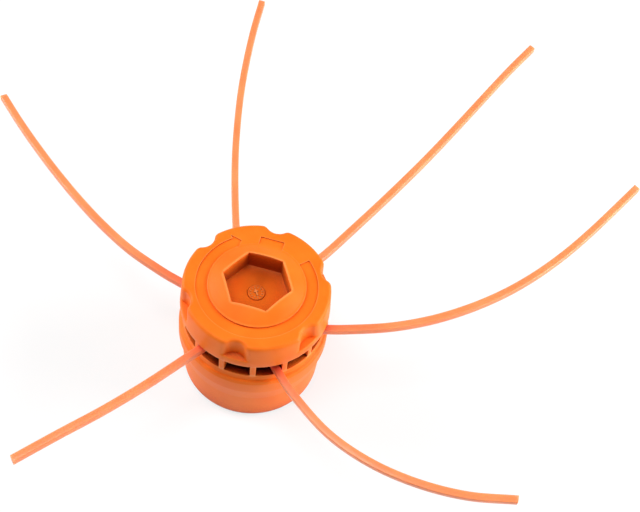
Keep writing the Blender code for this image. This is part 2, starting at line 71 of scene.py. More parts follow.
# How far an arm is twisted about itself once it is free of the head, in degrees.
line_twists = {"cutting_line_2_b": 8.0}
line_routes = {
    "cutting_line_1": (
        (-183.3, 98.4, 46.2), (-167.0, 83.0, 46.5), (-150.1, 68.2, 46.8), (-132.7, 54.0, 47.1),
        (-114.7, 40.5, 47.3), (-96.1, 28.1, 47.4), (-76.5, 17.2, 47.5), (-55.6, 9.0, 47.5),
        (-45.5, 5.9, 47.5), (-38.2, 3.9, 47.5), (-32.5, 2.4, 47.8), (-24.5, -0.2, 48.8),
        (-10.8, -4.4, 50.1), (-0.2, -6.2, 50.1), (10.6, -6.6, 50.1), (24.4, -5.6, 51.2),
        (38.2, -2.7, 52.3), (51.6, 1.4, 52.5), (73.0, 9.8, 52.5), (93.2, 21.0, 52.5),
        (111.8, 34.8, 52.5), (128.7, 50.6, 52.5), (143.7, 68.2, 52.5), (157.0, 87.1, 52.5),
        (168.9, 106.9, 52.4), (180.0, 127.2, 52.3), (190.8, 147.5, 52.2)),
    "cutting_line_2": (
        (-60.7, 224.3, 46.8), (-58.7, 199.0, 47.1), (-55.7, 173.8, 47.4), (-51.8, 148.7, 47.6),
        (-46.7, 123.8, 47.8), (-40.7, 99.1, 47.9), (-33.6, 74.7, 48.0), (-25.9, 51.2, 48.0),
        (-19.3, 33.1, 47.9), (-14.1, 19.9, 46.9), (-8.0, 7.6, 45.8), (-2.5, -1.5, 45.8),
        (3.5, -10.3, 45.8), (12.1, -21.1, 46.9), (21.6, -31.8, 47.9), (35.0, -44.2, 48.0),
        (56.5, -59.2, 47.9), (80.6, -68.4, 47.8), (106.0, -72.3, 47.7), (131.6, -71.5, 47.4),
        (156.7, -66.1, 47.2)),
    "cutting_line_3": (
        (-88.3, -120.8, 51.8), (-71.9, -101.4, 52.0), (-55.3, -82.2, 52.1), (-39.6, -62.0, 52.2),
        (-26.4, -43.2, 52.2), (-19.1, -32.9, 52.2), (-12.0, -21.2, 52.7), (-4.8, -9.3, 54.4),
        (0.5, -0.3, 54.4), (5.8, 8.7, 54.4), (12.1, 20.9, 52.0), (19.1, 33.1, 49.6),
        (27.3, 46.4, 49.5), (37.6, 67.2, 49.5), (47.9, 88.6, 49.4), (57.9, 110.2, 49.3),
        (67.6, 132.1, 49.2), (76.7, 154.1, 49.0), (85.6, 176.3, 48.8), (94.4, 198.5, 48.6),
        (103.4, 220.7, 48.3), (113.0, 242.5, 48.0)),
}


def eased_path(points, step):
    """Even steps along a smooth curve through the points, in millimetres."""
    given = [Vector(p) for p in points]
    padded = [2 * given[0] - given[1]] + given + [2 * given[-1] - given[-2]]
    dense = []
    for a, b, c, d in zip(padded, padded[1:], padded[2:], padded[3:]):
        for i in range(CURVE_STEPS):
            t = i / CURVE_STEPS
            dense.append(0.5 * (2 * b + (c - a) * t + (2 * a - 5 * b + 4 * c - d) * t ** 2
                                + (3 * b - 3 * c + d - a) * t ** 3))
    dense.append(given[-1])
    lengths = [0.0]
    for p, q in zip(dense, dense[1:]):
        lengths.append(lengths[-1] + (q - p).length)
    count = round(lengths[-1] / step)
    path = []
    k = 0
    for i in range(count + 1):
        wanted = lengths[-1] * i / count
        while k < len(dense) - 2 and lengths[k + 1] < wanted:
            k += 1
        path.append(dense[k].lerp(dense[k + 1], (wanted - lengths[k]) / (lengths[k + 1] - lengths[k])))
    return path


def soft_square(side, corner, steps=3):
    """The line's section: a square with rounded corners, as (across, up) pairs."""
    half = side / 2 - corner
    section = []
    for quarter, (x, y) in enumerate(((half, half), (-half, half), (-half, -half), (half, -half))):
        for i in range(steps + 1):
            angle = math.radians(90 * quarter + 90 * i / steps)
            section.append((x + corner * math.cos(angle), y + corner * math.sin(angle)))
    return section


def extruded_line(name, path, twist):
    """Sweeps the square section along the path, with a snipped, slightly slanting end."""
    section = soft_square(LINE_SIDE, LINE_CORNER)
    shape = bmesh.new()
    rings = []
    for i, point in enumerate(path):
        ahead = (path[min(i + 1, len(path) - 1)] - path[max(i - 1, 0)]).normalized()
        across = Vector((0, 0, 1)).cross(ahead).normalized()
        up = ahead.cross(across)
        free = min(1.0, max(0.0, (i - CLAMPED_STEPS) / TWIST_STEPS))
        turn = Matrix.Rotation(math.radians(twist) * free, 3, ahead)
        across = turn @ across
        up = turn @ up
        last = i == len(path) - 1
        ring = []
        for x, y in section:
            place = point + across * x + up * y
            if last:
                place += ahead * (x * CUT_SLANT)
            ring.append(shape.verts.new(place * MM))
        rings.append(ring)
    # The cut end: a narrow burr-free chamfer, then the flat left by the cutters.
    ahead = (path[-1] - path[-2]).normalized()
    middle = sum((v.co for v in rings[-1]), Vector()) / len(section)
    rings.append([shape.verts.new(middle + (v.co - middle) * CUT_FACE + ahead * CUT_CHAMFER * MM)
                  for v in rings[-1]])
    for first, second in zip(rings, rings[1:]):
        for j in range(len(section)):
            k = (j + 1) % len(section)
            face = shape.faces.new((first[j], first[k], second[k], second[j]))
            face.smooth = True
    shape.faces.new(rings[-1])
    shape.faces.new(list(reversed(rings[0])))
    bmesh.ops.recalc_face_normals(shape, faces=shape.faces)
    mesh = bpy.data.meshes.new(name)
    shape.to_mesh(mesh)
    shape.free()
    mesh.set_sharp_from_angle(angle=math.radians(LINE_SHARP_EDGE))
    piece = bpy.data.objects.new(name, mesh)
    bpy.context.scene.collection.objects.link(piece)
    return piece


def node_group(name, inputs, outputs):
    """An empty shader group with float inputs and the named outputs."""
    group = bpy.data.node_groups.new(name, "ShaderNodeTree")
    for label, value in inputs:
        socket = group.interface.new_socket(label, in_out="INPUT", socket_type="NodeSocketFloat")
        socket.default_value = value
    for label in outputs:
        group.interface.new_socket(label, in_out="OUTPUT", socket_type="NodeSocketFloat")
    return group, group.nodes.new("NodeGroupInput"), group.nodes.new("NodeGroupOutput")


def maths(tree, operation, first, second):
    """One Math node, whose inputs are sockets or plain numbers."""
    node = tree.nodes.new("ShaderNodeMath")
    node.operation = operation
    for socket, value in zip(node.inputs, (first, second)):
        if isinstance(value, bpy.types.NodeSocket):
            tree.links.new(value, socket)
        else:
            socket.default_value = value
    return node.outputs[0]


# Plastic shows two things up close: a fine texture from the tool it was shaped in, and a cloudiness in
# its colour where the pigment flowed. Both are measured in the object's own metres.
grain, grain_in, grain_out = node_group(
    "plastic_grain", (("Grain Size mm", 0.3), ("Cloud Size mm", 12.0)), ("Height", "Cloud"))
grain_place = grain.nodes.new("ShaderNodeTexCoord")
for wanted, detail, output in (("Grain Size mm", 3.0, "Height"), ("Cloud Size mm", 2.0, "Cloud")):
    noise = grain.nodes.new("ShaderNodeTexNoise")
    noise.inputs["Detail"].default_value = detail
    grain.links.new(grain_place.outputs["Object"], noise.inputs["Vector"])
    grain.links.new(maths(grain, "DIVIDE", 1000.0, grain_in.outputs[wanted]), noise.inputs["Scale"])
    grain.links.new(noise.outputs["Fac"], grain_out.inputs[output])

# Three masks say how open a point stands, from 0 to 1: Edge falls where the plastic turns outward, Hollow
# where something stands close by, and Depth where hardly any open air is seen.
# These masks are used to paint light into colours: a highlight along outer edges, and shade in hollows and
# deep places.
openness, openness_in, openness_out = node_group(
    "openness", (("Edge Reach mm", 2.0), ("Hollow Reach mm", 9.0), ("Depth Reach mm", 33.0)),
    ("Edge", "Hollow", "Depth"))
for mask, inside, closed, clear in (
        ("Edge", True, 0.4, 0.78), ("Hollow", False, 0.35, 0.9), ("Depth", False, 0.27, 0.5)):
    air = openness.nodes.new("ShaderNodeAmbientOcclusion")
    air.samples = 6
    air.inside = inside
    reach_metres = maths(openness, "MULTIPLY", openness_in.outputs[f"{mask} Reach mm"], MM)
    openness.links.new(reach_metres, air.inputs["Distance"])
    stretched = openness.nodes.new("ShaderNodeMapRange")
    stretched.inputs["From Min"].default_value = closed
    stretched.inputs["From Max"].default_value = clear
    openness.links.new(air.outputs["AO"], stretched.inputs["Value"])
    openness.links.new(stretched.outputs["Result"], openness_out.inputs[mask])


def mixed(tree, factor, first, second):
    """Blends two colours, each a socket or a plain colour, by a factor socket."""
    blend = tree.nodes.new("ShaderNodeMix")
    blend.data_type = "RGBA"
    tree.links.new(factor, blend.inputs["Factor"])
    for socket, value in ((blend.inputs["A"], first), (blend.inputs["B"], second)):
        if isinstance(value, bpy.types.NodeSocket):
            tree.links.new(value, socket)
        else:
            socket.default_value = (*value, 1)
    return blend.outputs["Result"]


def finish_with_painted_light(name, pale, deep, painted_hollow_shade, painted_deep_shade, painted_edge_highlight, rough, bump, grain_size, cloud_size, hollow_reach):
    """A Principled finish whose colour drifts between a pale and a deep tone, with its grain as a faint bump.

    What has something within hollow_reach deepens to a painted hollow shade, what hardly sees the open air to
    a darker painted deep shade, and outer edges take a pale painted highlight. The rough pair is the least
    roughness and what the grain adds. Bump, sizes and reach are in millimetres."""
    made = bpy.data.materials.new(name)
    made.use_nodes = True
    tree = made.node_tree
    shader = tree.nodes["Principled BSDF"]
    texture = tree.nodes.new("ShaderNodeGroup")
    texture.node_tree = grain
    texture.inputs["Grain Size mm"].default_value = grain_size
    texture.inputs["Cloud Size mm"].default_value = cloud_size
    tones = tree.nodes.new("ShaderNodeValToRGB")
    tones.color_ramp.elements[0].position = 0.3
    tones.color_ramp.elements[0].color = (*deep, 1)
    tones.color_ramp.elements[1].position = 0.7
    tones.color_ramp.elements[1].color = (*pale, 1)
    tree.links.new(texture.outputs["Cloud"], tones.inputs["Fac"])
    masks = tree.nodes.new("ShaderNodeGroup")
    masks.node_tree = openness
    masks.inputs["Hollow Reach mm"].default_value = hollow_reach
    # Painted light over the cloudy tone: a highlight on outer edges, shade in hollows, and deep shade where
    # little open air is seen.
    edge_highlighted = mixed(tree, masks.outputs["Edge"], painted_edge_highlight, tones.outputs["Color"])
    shaded = mixed(tree, masks.outputs["Hollow"], painted_hollow_shade, edge_highlighted)
    colour = mixed(tree, masks.outputs["Depth"], painted_deep_shade, shaded)
    tree.links.new(colour, shader.inputs["Base Color"])
    roughness = maths(tree, "ADD", rough[0], maths(tree, "MULTIPLY", texture.outputs["Height"], rough[1]))
    tree.links.new(roughness, shader.inputs["Roughness"])
    relief = tree.nodes.new("ShaderNodeBump")
    relief.inputs["Strength"].default_value = 1.0
    relief.inputs["Distance"].default_value = bump * MM
    tree.links.new(texture.outputs["Height"], relief.inputs["Height"])
    tree.links.new(relief.outputs["Normal"], shader.inputs["Normal"])
    return made, shader


# The line's colours paint light: within 38 mm of the head it turns redder and darker as painted shade,
# deepest in the windows, and its edges take a painted highlight.
line_nylon, line_shader = finish_with_painted_light(
    "line_nylon", pale=(0.92, 0.265, 0.085), deep=(0.90, 0.215, 0.06), painted_hollow_shade=(0.92, 0.105, 0.05),
    painted_deep_shade=(0.75, 0.045, 0.025), painted_edge_highlight=(0.98, 0.36, 0.15), rough=(0.25, 0.16), bump=0.02,
    grain_size=0.5, cloud_size=20.0, hollow_reach=38.0)
line_shader.inputs["Subsurface Weight"].default_value = 0.35
line_shader.inputs["Subsurface Radius"].default_value = (1.0, 0.35, 0.1)
line_shader.inputs["Subsurface Scale"].default_value = 0.0025
line_shader.inputs["IOR"].default_value = 1.53

for node_name, route in line_routes.items():
    whole = eased_path(route, LINE_STEP)
    nearest = min(range(len(whole)), key=lambda i: whole[i].xy.length)
    for arm, path in (("a", list(reversed(whole[:nearest + 1]))), ("b", whole[nearest:])):
        arm_name = f"{node_name}_{arm}"
        piece = extruded_line(arm_name, path, line_twists.get(arm_name, 0.0))
        piece.data.materials.append(line_nylon)
        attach(piece, "head")
        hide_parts(node_name)

# Housing
# The lower part is one deep moulding in orange nylon: a closed body with a waist, a ring of fourteen posts
# that the lines leave between, a shoulder and a threaded neck for the cap. Its edges have the mould's radii.
# Painted light on the head: hollows take a deeper orange painted shade, the line chamber and windows a
# near-black painted shade, and outer edges a pale painted highlight.
head_plastic, head_shader = finish_with_painted_light(
    "head_plastic", pale=(0.93, 0.184, 0.010), deep=(0.90, 0.152, 0.005), painted_hollow_shade=(0.92, 0.10, 0.002),
    painted_deep_shade=(0.03, 0.004, 0.002), painted_edge_highlight=(0.98, 0.32, 0.09), rough=(0.4, 0.16), bump=0.03,
    grain_size=0.35, cloud_size=16.0, hollow_reach=12.0)
head_shader.inputs["Subsurface Weight"].default_value = 0.12
head_shader.inputs["Subsurface Radius"].default_value = (1.0, 0.3, 0.08)
head_shader.inputs["Subsurface Scale"].default_value = 0.002
head_shader.inputs["IOR"].default_value = 1.5
head_shader.inputs["Specular IOR Level"].default_value = 0.4
head_shader.inputs["Specular Tint"].default_value = (1, 0.65, 0.35, 1)

FILLET_STEPS = 4
FILLET_SHARE = 0.48
NEARLY_STRAIGHT = 88.5


def softened(corners):
    """Rounds a section's corners. Each is (radius, height, fillet); a fillet of 0 leaves it sharp.

    A fillet takes less than half of the sides beside it, and a corner that is nearly straight gets none."""
    section = []
    for i, (x, z, fillet) in enumerate(corners):
        here = Vector((x, z))
        if fillet == 0:
            section.append(here)
            continue
        back = Vector(corners[i - 1][:2]) - here
        on = Vector(corners[(i + 1) % len(corners)][:2]) - here
        half = back.angle(on) / 2
        if half > math.radians(NEARLY_STRAIGHT):
            section.append(here)
            continue
        run = min(fillet / math.tan(half), FILLET_SHARE * back.length, FILLET_SHARE * on.length)
        first = here + back.normalized() * run
        last = here + on.normalized() * run
        pull = run / math.cos(half)
        centre = here + (back.normalized() + on.normalized()).normalized() * pull
        start = first - centre
        sweep = start.angle_signed(last - centre)
        for k in range(FILLET_STEPS + 1):
            angle = -sweep * k / FILLET_STEPS
            section.append(centre + Vector((start.x * math.cos(angle) - start.y * math.sin(angle),
                                            start.x * math.sin(angle) + start.y * math.cos(angle))))
    return section


def turned_point(radius, angle, height):
    """A place round the head's axis, from millimetres and radians to metres."""
    return (radius * math.cos(angle) * MM, radius * math.sin(angle) * MM, height * MM)


def lathe(shape, section, columns):
    """Adds a closed section turned about the head's axis to the mesh in the making."""
    rings = []
    for radius, height in section:
        if radius < 0.001:
            rings.append([shape.verts.new((0, 0, height * MM))])
            continue
        rings.append([shape.verts.new(turned_point(radius, math.tau * j / columns, height))
                      for j in range(columns)])
    closed = len(rings[0]) > 1 and len(rings[-1]) > 1
    pairs = list(zip(rings, rings[1:])) + ([(rings[-1], rings[0])] if closed else [])
    for first, second in pairs:
        for j in range(columns):
            k = (j + 1) % columns
            corners = [first[j], first[k]] if len(first) > 1 else [first[0]]
            corners += [second[k], second[j]] if len(second) > 1 else [second[0]]
            shape.faces.new(corners)


def block(shape, outline, low, high, edge=0.0):
    """Adds an upright bar with a rounded outline; edge is a chamfer round its top."""
    layers = [(low, 0.0), (high - edge, 0.0)] + ([(high, edge)] if edge else [])
    middle = sum((Vector(p) for p in outline), Vector((0, 0))) / len(outline)
    rings = []
    for height, inset in layers:
        ring = []
        for p in outline:
            inward = (middle - Vector(p)).normalized() * inset
            ring.append(shape.verts.new(((p[0] + inward.x) * MM, (p[1] + inward.y) * MM, height * MM)))
        rings.append(ring)
    for first, second in zip(rings, rings[1:]):
        for j in range(len(outline)):
            k = (j + 1) % len(outline)
            shape.faces.new((first[j], first[k], second[k], second[j]))
    shape.faces.new(list(reversed(rings[0])))
    shape.faces.new(rings[-1])


def soft_bar(inner, outer, width, corner, angle):
    """A rounded rectangle that lies radially at that angle, as seen from above."""
    far = outer - corner
    near = inner + corner
    side = width / 2 - corner
    outline = []
    for quarter, (x, y) in enumerate(((far, side), (near, side), (near, -side), (far, -side))):
        for i in range(4):
            around = math.radians(90 * quarter + 30 * i)
            outline.append(Vector((x + corner * math.cos(around), y + corner * math.sin(around))))
    turned = Matrix.Rotation(math.radians(angle), 2)
    return [tuple(turned @ p) for p in outline]


THREAD_PITCH = 4.0
THREAD_HEIGHT = 1.2
THREAD_FOOT = 1.9
THREAD_CREST = 1.0
THREAD_ROOT = 0.3
THREAD_STEPS = 72
RUN_OUT_STEPS = 14
LEAST_RIDGE = 0.02


def helix_ridge(shape, radius, low, turns, outward=1, start=0.0):
    """Adds a screw thread's ridge, rooted in its wall and running out to nothing at both ends."""
    steps = round(turns * THREAD_STEPS)
    rings = []
    for i in range(steps + 1):
        angle = math.radians(start) + math.tau * i / THREAD_STEPS
        height = low + THREAD_PITCH * i / THREAD_STEPS
        fade = max(LEAST_RIDGE, min(1.0, i / RUN_OUT_STEPS, (steps - i) / RUN_OUT_STEPS))
        crest = THREAD_CREST / 2 + (THREAD_FOOT - THREAD_CREST) / 2 * (1 - fade)
        ring = []
        for along, out in ((-THREAD_FOOT / 2, -THREAD_ROOT), (-crest, THREAD_HEIGHT * fade),
                           (crest, THREAD_HEIGHT * fade), (THREAD_FOOT / 2, -THREAD_ROOT)):
            ring.append(shape.verts.new(turned_point(radius + outward * out, angle, height + along)))
        rings.append(ring)
    for first, second in zip(rings, rings[1:]):
        for j in range(4):
            k = (j + 1) % 4
            shape.faces.new((first[j], first[k], second[k], second[j]))
    shape.faces.new(list(reversed(rings[0])))
    shape.faces.new(rings[-1])


SLIVER = 0.002
SHARP_EDGE = 38


def finished(name, shape):
    """Turns the mesh in the making into an object, without slivers, smooth but for its real edges."""
    bmesh.ops.dissolve_degenerate(shape, dist=SLIVER * MM, edges=shape.edges)
    bmesh.ops.recalc_face_normals(shape, faces=shape.faces)
    for face in shape.faces:
        face.smooth = True
    mesh = bpy.data.meshes.new(name)
    shape.to_mesh(mesh)
    shape.free()
    mesh.set_sharp_from_angle(angle=math.radians(SHARP_EDGE))
    piece = bpy.data.objects.new(name, mesh)
    bpy.context.scene.collection.objects.link(piece)
    return piece


def cutter(name, outline, low, high):
    """A prism that is taken out of a moulding, and is gone afterwards."""
    shape = bmesh.new()
    block(shape, outline, low, high)
    return finished(name, shape)


def carved(piece, cutters):
    """The mesh that is left once the cutters are taken out of the piece; all of these objects go."""
    for tool in cutters:
        cut = piece.modifiers.new(tool.name, "BOOLEAN")
        cut.operation = "DIFFERENCE"
        cut.solver = "EXACT"
        cut.object = tool
    left = bpy.data.meshes.new_from_object(piece.evaluated_get(bpy.context.evaluated_depsgraph_get()))
    for thing in [piece] + cutters:
        bpy.data.objects.remove(thing)
    return left


def polar(radius, bearing):
    """A place round the axis, seen from above, at that bearing in degrees."""
    return (radius * math.cos(math.radians(bearing)), radius * math.sin(math.radians(bearing)))


def round_points(radius, first, last, count):
    """Points on a circle about the axis, from one bearing to another, in degrees."""
    return [polar(radius, first + (last - first) * i / count) for i in range(count + 1)]


POSTS = 14
POST_TURN = 1.9
KEYS = 4
ROUND_STEPS = 280
# The body's section runs from the window sill down the outside, across the gearbox face, up the spindle's
# bore and over the floor of the line chamber. The nut's hexagonal pocket is sunk into that floor.
body = bmesh.new()
lathe(body, softened((
    (34.4, 45.13, 0.4), (38.26, 45.13, 0.35), (38.8, 41.5, 0.6), (39.9, 41.0, 0.5), (40.6, 39.2, 0.9),
    (40.6, 30.9, 0.8), (40.0, 30.1, 0.8), (38.6, 21.0, 6.0), (37.7, 3.0, 4.0), (37.4, 0.9, 1.4),
    (36.2, 0.0, 1.6), (31.5, 0.0, 0.3), (31.1, 1.5, 0.3), (19.9, 1.5, 0.3), (19.5, 0.0, 0.3),
    (14.4, 0.0, 0.4), (14.0, 10.0, 0.6), (5.4, 10.0, 0.4), (5.4, 43.5, 0), (34.4, 43.5, 0.5),
)), ROUND_STEPS)
NUT_POCKET_CORNER = 9.58
pocket = round_points(NUT_POCKET_CORNER, 0, 300, 5)
body_left = carved(finished("body", body), [cutter("nut_pocket", pocket, low=22.0, high=50.0)])
# The shoulder that roofs the windows, and the neck that stands up from it inside the cap, with four grooves
# for the plate's keys and a coarse thread.
neck = bmesh.new()
lathe(neck, softened((
    (30.2, 70.3, 0.6), (30.2, 56.6, 0.3), (38.26, 56.6, 0.5), (38.26, 54.8, 0.3), (34.4, 54.8, 0.3),
    (27.6, 54.8, 0.3), (27.6, 70.3, 0.3),
)), ROUND_STEPS)
grooves = []
for i in range(KEYS):
    groove = soft_bar(inner=26.6, outer=29.1, width=4.6, corner=0.3, angle=POST_TURN + 360 * i / KEYS)
    grooves.append(cutter(f"key_groove_{i}", groove, low=55.6, high=75.0))
neck_left = carved(finished("neck", neck), grooves)
housing = bmesh.new()
housing.from_mesh(body_left)
housing.from_mesh(neck_left)
for i in range(POSTS):
    post = soft_bar(inner=34.45, outer=38.2, width=3.2, corner=0.35, angle=POST_TURN + 360 * i / POSTS)
    block(housing, post, low=44.6, high=55.2)
helix_ridge(housing, radius=30.2, low=59.2, turns=2.25)
housing_piece = finished("moulded_housing", housing)
housing_piece.data.materials.append(head_plastic)
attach(housing_piece, "head")
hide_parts("base_housing")

# Screw cap
# The cap is turned by hand or with a hexagon key: one nylon moulding with six finger scallops that stop at
# an unbroken flange, a low dome round the key's socket, and a sunk arrow and panel on top.
RIM_LINE = ((40.06, 56.89), (39.1, 73.45))
CAP_TOP = 73.67
TOP_ROUND = 1.9
SCALLOPS = 6
SCALLOP_BEARING = 30
SCALLOP_CENTRE = 42.6
SCALLOP_RADIUS = 7.0
SCALLOP_LIP = 4.0
SCALLOP_FOOT = 62.3
SCALLOP_EDGE = 0.8
RIM_STEPS = 12
LIP_STEPS = 10
SCALLOP_STEPS = 20


def rim_radius(height):
    """The cap's wall leans in a little, from its flange's foot to its top edge."""
    (foot_radius, foot_height), (top_radius, top_height) = RIM_LINE
    return foot_radius + (top_radius - foot_radius) * (height - foot_height) / (top_height - foot_height)


def arc(centre, radius, start, sweep, steps):
    """Points along an arc, without its last, where the next stretch starts. Angles are in radians."""
    points = []
    for i in range(steps):
        around = start + sweep * i / steps
        points.append(Vector(centre) + Vector((math.cos(around), math.sin(around))) * radius)
    return points


def scalloped(height, inset):
    """The cap's outline at that height, moved inwards by inset, as points all round."""
    rim = rim_radius(height) - inset
    lip = rim_radius(height) - SCALLOP_LIP
    reach = SCALLOP_RADIUS + SCALLOP_LIP
    x = (lip ** 2 - reach ** 2 + SCALLOP_CENTRE ** 2) / (2 * SCALLOP_CENTRE)
    y = math.sqrt(lip ** 2 - x ** 2)
    tilt = math.atan2(y, x)
    facing = math.atan2(y, x - SCALLOP_CENTRE)
    half_sector = math.pi / SCALLOPS
    over_lip = math.pi - facing + tilt
    through = 2 * facing - math.tau
    # One sector runs from the middle of a rim stretch, over a lip into its scallop, and out again.
    sector = (arc((0, 0), rim, -half_sector, half_sector - tilt, RIM_STEPS)
              + arc((x, -y), SCALLOP_LIP - inset, -tilt, over_lip, LIP_STEPS)
              + arc((SCALLOP_CENTRE, 0), SCALLOP_RADIUS + inset, -facing, through, SCALLOP_STEPS)
              + arc((x, y), SCALLOP_LIP - inset, facing - math.pi, over_lip, LIP_STEPS)
              + arc((0, 0), rim, tilt, half_sector - tilt, RIM_STEPS))
    outline = []
    for i in range(SCALLOPS):
        turned = Matrix.Rotation(math.radians(SCALLOP_BEARING + 360 * i / SCALLOPS), 2)
        outline += [turned @ p for p in sector]
    return outline


# Each ring of the cap's points has one point in each of these columns. A column's scallop depth is 0 on the
# rim and 1 inside a scallop.
cap_columns = scalloped(SCALLOP_FOOT, 0.0)
cap_bearings = [math.atan2(p.y, p.x) for p in cap_columns]
scallop_depth = [min(1.0, max(0.0, (rim_radius(SCALLOP_FOOT) - p.length) / SCALLOP_EDGE))
                 for p in cap_columns]
DOME_LINE = ((26.29, CAP_TOP), (24.3, 74.72), (22.3, 75.7), (20.4, 76.58), (18.7, 77.31), (16.8, 78.02),
             (15.0, 78.6))


def dome_height(radius):
    """The dome's height over the key socket's surroundings, easing between its measured points."""
    for (r1, z1), (r2, z2) in zip(DOME_LINE, DOME_LINE[1:]):
        if radius >= r2:
            return z1 + (z2 - z1) * (r1 - radius) / (r1 - r2)
    return DOME_LINE[-1][1]


def hexagonal(bearing, corner_radius):
    """How far out a hexagon with a corner at +X reaches in that direction."""
    return corner_radius * math.cos(math.pi / 6) / math.cos(bearing % (math.pi / 3) - math.pi / 6)


cap = bmesh.new()
cap_rows = []


def cap_row(points, heights):
    """Adds a ring of points to the cap; heights is one height, or one for each point."""
    if not isinstance(heights, list):
        heights = [heights] * len(points)
    cap_rows.append([cap.verts.new((p[0] * MM, p[1] * MM, z * MM)) for p, z in zip(points, heights)])


def ring_of(radius):
    """A circle's points on the cap's own columns; radius is one number, or one for each column."""
    radii = radius if isinstance(radius, list) else [radius] * len(cap_bearings)
    return [(r * math.cos(b), r * math.sin(b)) for r, b in zip(radii, cap_bearings)]


# Out under the socket's cup, up beside it, down the thread's bore and out across the rim's underside.
for radius, height in (
        (0.5, 63.3), (21.4, 63.3), (21.4, 71.0), (31.7, 71.0), (31.7, 57.4), (32.2, 56.9), (33.8, 56.9)):
    cap_row(ring_of(radius), height)
for inset, height in ((0.5, 56.89), (0.15, 57.03), (0.0, 57.4)):
    cap_row(ring_of(rim_radius(height) - inset), height)
# Up the flange, over its edge, and in to the scallops' walls.
for inset, height in ((0.0, 61.15), (0.12, 61.5), (0.45, 61.7)):
    cap_row(ring_of([rim_radius(height) - inset * s for s in scallop_depth]), height)
RIM_RISE = 0.35
for spread, height in ((0.25, 61.7), (0.07, 61.78), (0.0, 62.05)):
    wall = zip(scalloped(height, 0.0), scalloped(height, -spread), scallop_depth)
    heights = [height + RIM_RISE * (1 - s) for s in scallop_depth]
    cap_row([plain.lerp(out, s) for plain, out, s in wall], heights)
for height in (63.5, 65.5, 68.0, 70.0, 71.6):
    cap_row(scalloped(height, 0.0), height)
# The rounded top edge.
EDGE_STEPS = 8
for i in range(1, EDGE_STEPS + 1):
    around = math.radians(90 * i / EDGE_STEPS)
    inset = TOP_ROUND * (1 - math.cos(around))
    cap_row(scalloped(73.0, inset), CAP_TOP - TOP_ROUND * (1 - math.sin(around)))
# Across the flat to the dome's foot, a small fillet, and up the dome to the socket's mouth.
DOME_FOOT = 26.8
for radius in (32.55, 29.5, DOME_FOOT):
    cap_row(ring_of(radius), CAP_TOP)
for radius in (26.45, 26.15, 25.8):
    cap_row(ring_of(radius), CAP_TOP + (DOME_FOOT - radius) ** 2 * 0.5)
LAST_ROUND = 21.1
for radius in (25.3, 24.6, 23.8, 22.9, 22.0, LAST_ROUND):
    cap_row(ring_of(radius), dome_height(radius))
SOCKET_CORNER = 18.5
MOUTH_ROUND = 0.7
socket_mouth = [hexagonal(b, SOCKET_CORNER + MOUTH_ROUND) for b in cap_bearings]
for share in (0.4, 0.75):
    between = [LAST_ROUND + (r - LAST_ROUND) * share for r in socket_mouth]
    cap_row(ring_of(between), [dome_height(r) for r in between])
for spread, drop in ((MOUTH_ROUND, 0.0), (0.42, 0.02), (0.2, 0.1), (0.06, 0.26), (0.0, 0.5)):
    edge = [hexagonal(b, SOCKET_CORNER + spread) for b in cap_bearings]
    cap_row(ring_of(edge), [dome_height(r) - drop for r in edge])
# Down the socket's walls to its floor.
for spread, height in ((0.0, 75.0), (0.0, 72.0), (-0.03, 69.0), (-0.06, 66.6), (-0.2, 66.2),
                       (-0.55, 66.07)):
    cap_row(ring_of([hexagonal(b, SOCKET_CORNER + spread) for b in cap_bearings]), height)
for radius, height in ((12.0, 66.07), (5.6, 66.07), (5.1, 66.04), (4.95, 66.0), (4.8, 66.1), (4.65, 66.35),
                       (4.45, 66.55), (4.2, 66.62), (4.0, 66.55), (3.85, 66.35), (1.0, 66.35)):
    cap_row(ring_of(radius), height)
for lower, upper in zip(cap_rows, cap_rows[1:]):
    for j in range(len(lower)):
        k = (j + 1) % len(lower)
        cap.faces.new((lower[j], lower[k], upper[k], upper[j]))
cap.faces.new(cap_rows[0])
cap.faces.new(cap_rows[-1])
cap_piece = finished("screw_cap", cap)

# The arrow runs clockwise, the way that tightens the cap, from its tail to a barbed head.
ARROW_TAIL = 47
ARROW_NECK = -230
arrow_outline = round_points(32.17, ARROW_NECK, ARROW_TAIL, 240)
arrow_outline += round_points(26.0, ARROW_TAIL, ARROW_NECK, 240)
arrow_outline += [polar(25.2, 130), polar(29.4, 122.5), polar(34.4, 130)]
marks = [cutter("arrow_mark", arrow_outline, low=73.17, high=80.0)]
# The panel's floor is flat at first and then climbs with the dome.
PANEL_WIDTH = 13.0
panel = bmesh.new()
panel_side = ((30.4, 73.12), (30.4, 80.0), (22.1, 80.0), (22.1, 75.25), (26.6, 73.12))
ends = [[panel.verts.new((x * MM, r * MM, z * MM)) for r, z in panel_side]
        for x in (-PANEL_WIDTH / 2, PANEL_WIDTH / 2)]
for i in range(5):
    panel.faces.new((ends[0][i], ends[0][(i + 1) % 5], ends[1][(i + 1) % 5], ends[1][i]))
for end in ends:
    panel.faces.new(end)
marks.append(finished("panel_mark", panel))
# Under the rim, hollows between the scallops keep the walls even, as in any thick moulding.
LOBE_SPAN = 30
for i in range(SCALLOPS):
    first = 360 * i / SCALLOPS - LOBE_SPAN / 2
    last = 360 * i / SCALLOPS + LOBE_SPAN / 2
    lobe = round_points(36.7, first, last, 12) + round_points(33.8, last, first, 12)
    marks.append(cutter(f"lobe_{i}", lobe, low=50.0, high=71.0))
cap_left = carved(cap_piece, marks)

# The clip that the plate swivels on is split by two slots, so that its head can snap through.
clip = bmesh.new()
lathe(clip, softened(((0.0, 64.0, 0), (8.0, 64.0, 0), (8.0, 60.5, 0.4), (4.9, 60.5, 0), (4.9, 58.1, 0),
                      (6.2, 58.1, 0.2), (4.9, 56.9, 0.3), (0.0, 56.9, 0))), columns=96)
slots = []
for i in range(2):
    slot = soft_bar(inner=-7.2, outer=7.2, width=1.4, corner=0.1, angle=90 * i)
    slots.append(cutter(f"clip_slot_{i}", slot, low=55.0, high=60.4))
clip_left = carved(finished("clip", clip), slots)
